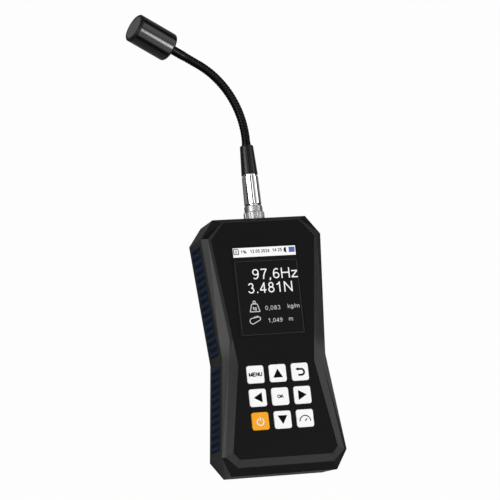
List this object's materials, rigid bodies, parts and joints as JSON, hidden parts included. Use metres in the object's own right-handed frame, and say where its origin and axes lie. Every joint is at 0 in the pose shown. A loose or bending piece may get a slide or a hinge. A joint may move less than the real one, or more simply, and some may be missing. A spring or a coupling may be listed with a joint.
{
  "type": "belt tension tester",
  "caption": "Hand-held belt tension tester: waisted black meter with display and keys, push-pull plug, bendable arm and a round sensor head.",
  "frame": {"origin": "middle of the housing's flat back face, on which the tester lies", "axes": "+X to the right seen from the front, +Y from the housing's bottom to its top and along the plug, +Z out of the front face"},
  "size_m": [0.1222, 0.3058, 0.0475],
  "materials": {
    "housing_black": "fine-textured black moulding",
    "overlay_black": "satin black printed sheet",
    "seal_black": "black sealing rubber",
    "grip_blue": "dark blue soft grip",
    "window_glass": "clear window over the display",
    "display_dark": "display glass",
    "backlight_grey": "light grey display frame",
    "board_green": "green circuit board",
    "chip_black": "black electronic parts",
    "key_white": "off-white keys",
    "key_orange": "orange key",
    "battery_foil": "pouch foil",
    "foam_grey": "grey foam",
    "lead_red": "insulated wires",
    "steel": "bright steel",
    "plug_metal": "satin chrome",
    "insulator_cream": "cream insulator",
    "contact_gold": "gold-coloured contacts",
    "lead_amber": "flat flexible lead",
    "relief_black": "soft black sleeve",
    "arm_black": "ribbed black arm",
    "head_black": "black anodised, satin",
    "mesh_black": "dark sound mesh"
  },
  "bodies": {
    "housing": {"front_shell": "housing_black", "rear_shell": "housing_black", "shell_gasket": "seal_black", "grip_left_upper": "grip_blue", "grip_left_lower": "grip_blue", "grip_right_upper": "grip_blue", "grip_right_lower": "grip_blue", "front_overlay": "overlay_black", "display_window": "window_glass", "display_dust_seal": "seal_black", "display_panel": "display_dark", "display_backlight": "backlight_grey", "main_board": "board_green", "board_components": "chip_black", "key_switches": "steel", "battery": "battery_foil", "battery_pad": "foam_grey", "battery_lead": "lead_red", "charging_socket": "steel", "board_screws": "steel", "housing_screws": "steel", "socket_body": "plug_metal", "socket_nut": "steel", "socket_seal": "seal_black", "socket_insulator": "insulator_cream", "socket_contacts": "contact_gold", "sensor_lead": "lead_amber"},
    "key_menu": {"key_menu": "key_white"},
    "key_up": {"key_up": "key_white"},
    "key_back": {"key_back": "key_white"},
    "key_left": {"key_left": "key_white"},
    "key_ok": {"key_ok": "key_white"},
    "key_right": {"key_right": "key_white"},
    "key_power": {"key_power": "key_orange"},
    "key_down": {"key_down": "key_white"},
    "key_gauge": {"key_gauge": "key_white"},
    "plug": {"plug_shell": "plug_metal", "plug_insulator": "insulator_cream", "plug_pins": "contact_gold", "plug_collet": "contact_gold", "plug_back_nut": "plug_metal", "bend_relief": "relief_black", "arm_link_1": "arm_black"},
    "latch": {"latch_sleeve": "plug_metal"},
    "arm_2": {"arm_link_2": "arm_black"},
    "arm_3": {"arm_link_3": "arm_black"},
    "arm_4": {"arm_link_4": "arm_black"},
    "arm_5": {"arm_link_5": "arm_black"},
    "arm_6": {"arm_link_6": "arm_black"},
    "arm_7": {"arm_link_7": "arm_black"},
    "head": {"arm_link_8": "arm_black", "head_shell": "head_black", "head_ring": "head_black", "sound_mesh": "mesh_black", "microphone": "steel", "microphone_mount": "foam_grey", "preamp_board": "board_green", "arm_ferrule": "steel"}
  },
  "joints": [
    {"name": "key_menu_press", "type": "slide", "parent": "housing", "child": "key_menu", "axis": [0, 0, -1], "range_m": [0, 0.0004], "stiffness_N_per_m": 2000, "springref_m": -0.0002},
    {"name": "key_up_press", "type": "slide", "parent": "housing", "child": "key_up", "axis": [0, 0, -1], "range_m": [0, 0.0004], "stiffness_N_per_m": 2000, "springref_m": -0.0002},
    {"name": "key_back_press", "type": "slide", "parent": "housing", "child": "key_back", "axis": [0, 0, -1], "range_m": [0, 0.0004], "stiffness_N_per_m": 2000, "springref_m": -0.0002},
    {"name": "key_left_press", "type": "slide", "parent": "housing", "child": "key_left", "axis": [0, 0, -1], "range_m": [0, 0.0004], "stiffness_N_per_m": 2000, "springref_m": -0.0002},
    {"name": "key_ok_press", "type": "slide", "parent": "housing", "child": "key_ok", "axis": [0, 0, -1], "range_m": [0, 0.0004], "stiffness_N_per_m": 2000, "springref_m": -0.0002},
    {"name": "key_right_press", "type": "slide", "parent": "housing", "child": "key_right", "axis": [0, 0, -1], "range_m": [0, 0.0004], "stiffness_N_per_m": 2000, "springref_m": -0.0002},
    {"name": "key_power_press", "type": "slide", "parent": "housing", "child": "key_power", "axis": [0, 0, -1], "range_m": [0, 0.0004], "stiffness_N_per_m": 2000, "springref_m": -0.0002},
    {"name": "key_down_press", "type": "slide", "parent": "housing", "child": "key_down", "axis": [0, 0, -1], "range_m": [0, 0.0004], "stiffness_N_per_m": 2000, "springref_m": -0.0002},
    {"name": "key_gauge_press", "type": "slide", "parent": "housing", "child": "key_gauge", "axis": [0, 0, -1], "range_m": [0, 0.0004], "stiffness_N_per_m": 2000, "springref_m": -0.0002},
    {"name": "plug_pull", "type": "slide", "parent": "housing", "child": "plug", "axis": [0, 1, 0], "range_m": [0, 0.0136]},
    {"name": "latch_draw", "type": "slide", "parent": "plug", "child": "latch", "axis": [0, 1, 0], "range_m": [0, 0.0012], "stiffness_N_per_m": 1500, "springref_m": -0.001},
    {"name": "arm_joint_1", "type": "hinge", "parent": "plug", "child": "arm_2", "pos_m": [0, 0.1396, 0.0195], "axis": [0.2419, 0, 0.9703], "range_deg": [-25, 12]},
    {"name": "arm_joint_2", "type": "hinge", "parent": "arm_2", "child": "arm_3", "pos_m": [-0.0013, 0.15176, 0.01982], "axis": [0.9471, 0.2172, -0.2361], "range_deg": [-14, 14]},
    {"name": "arm_joint_3", "type": "hinge", "parent": "arm_3", "child": "arm_4", "pos_m": [-0.00513, 0.16335, 0.02078], "axis": [0.2419, 0, 0.9703], "range_deg": [-31, 6]},
    {"name": "arm_joint_4", "type": "hinge", "parent": "arm_4", "child": "arm_5", "pos_m": [-0.01131, 0.1738, 0.02232], "axis": [0.7684, 0.6107, -0.1916], "range_deg": [-14, 14]},
    {"name": "arm_joint_5", "type": "hinge", "parent": "arm_5", "child": "arm_6", "pos_m": [-0.01954, 0.18261, 0.02437], "axis": [0.2419, 0, 0.9703], "range_deg": [-31, 6]},
    {"name": "arm_joint_6", "type": "hinge", "parent": "arm_6", "child": "arm_7", "pos_m": [-0.02944, 0.18938, 0.02684], "axis": [0.4446, 0.8889, -0.1108], "range_deg": [-17, 17]},
    {"name": "arm_joint_7", "type": "hinge", "parent": "arm_7", "child": "head", "pos_m": [-0.04004, 0.19494, 0.02948], "axis": [0.2419, 0, 0.9703], "range_deg": [-18, 18]}
  ]
}
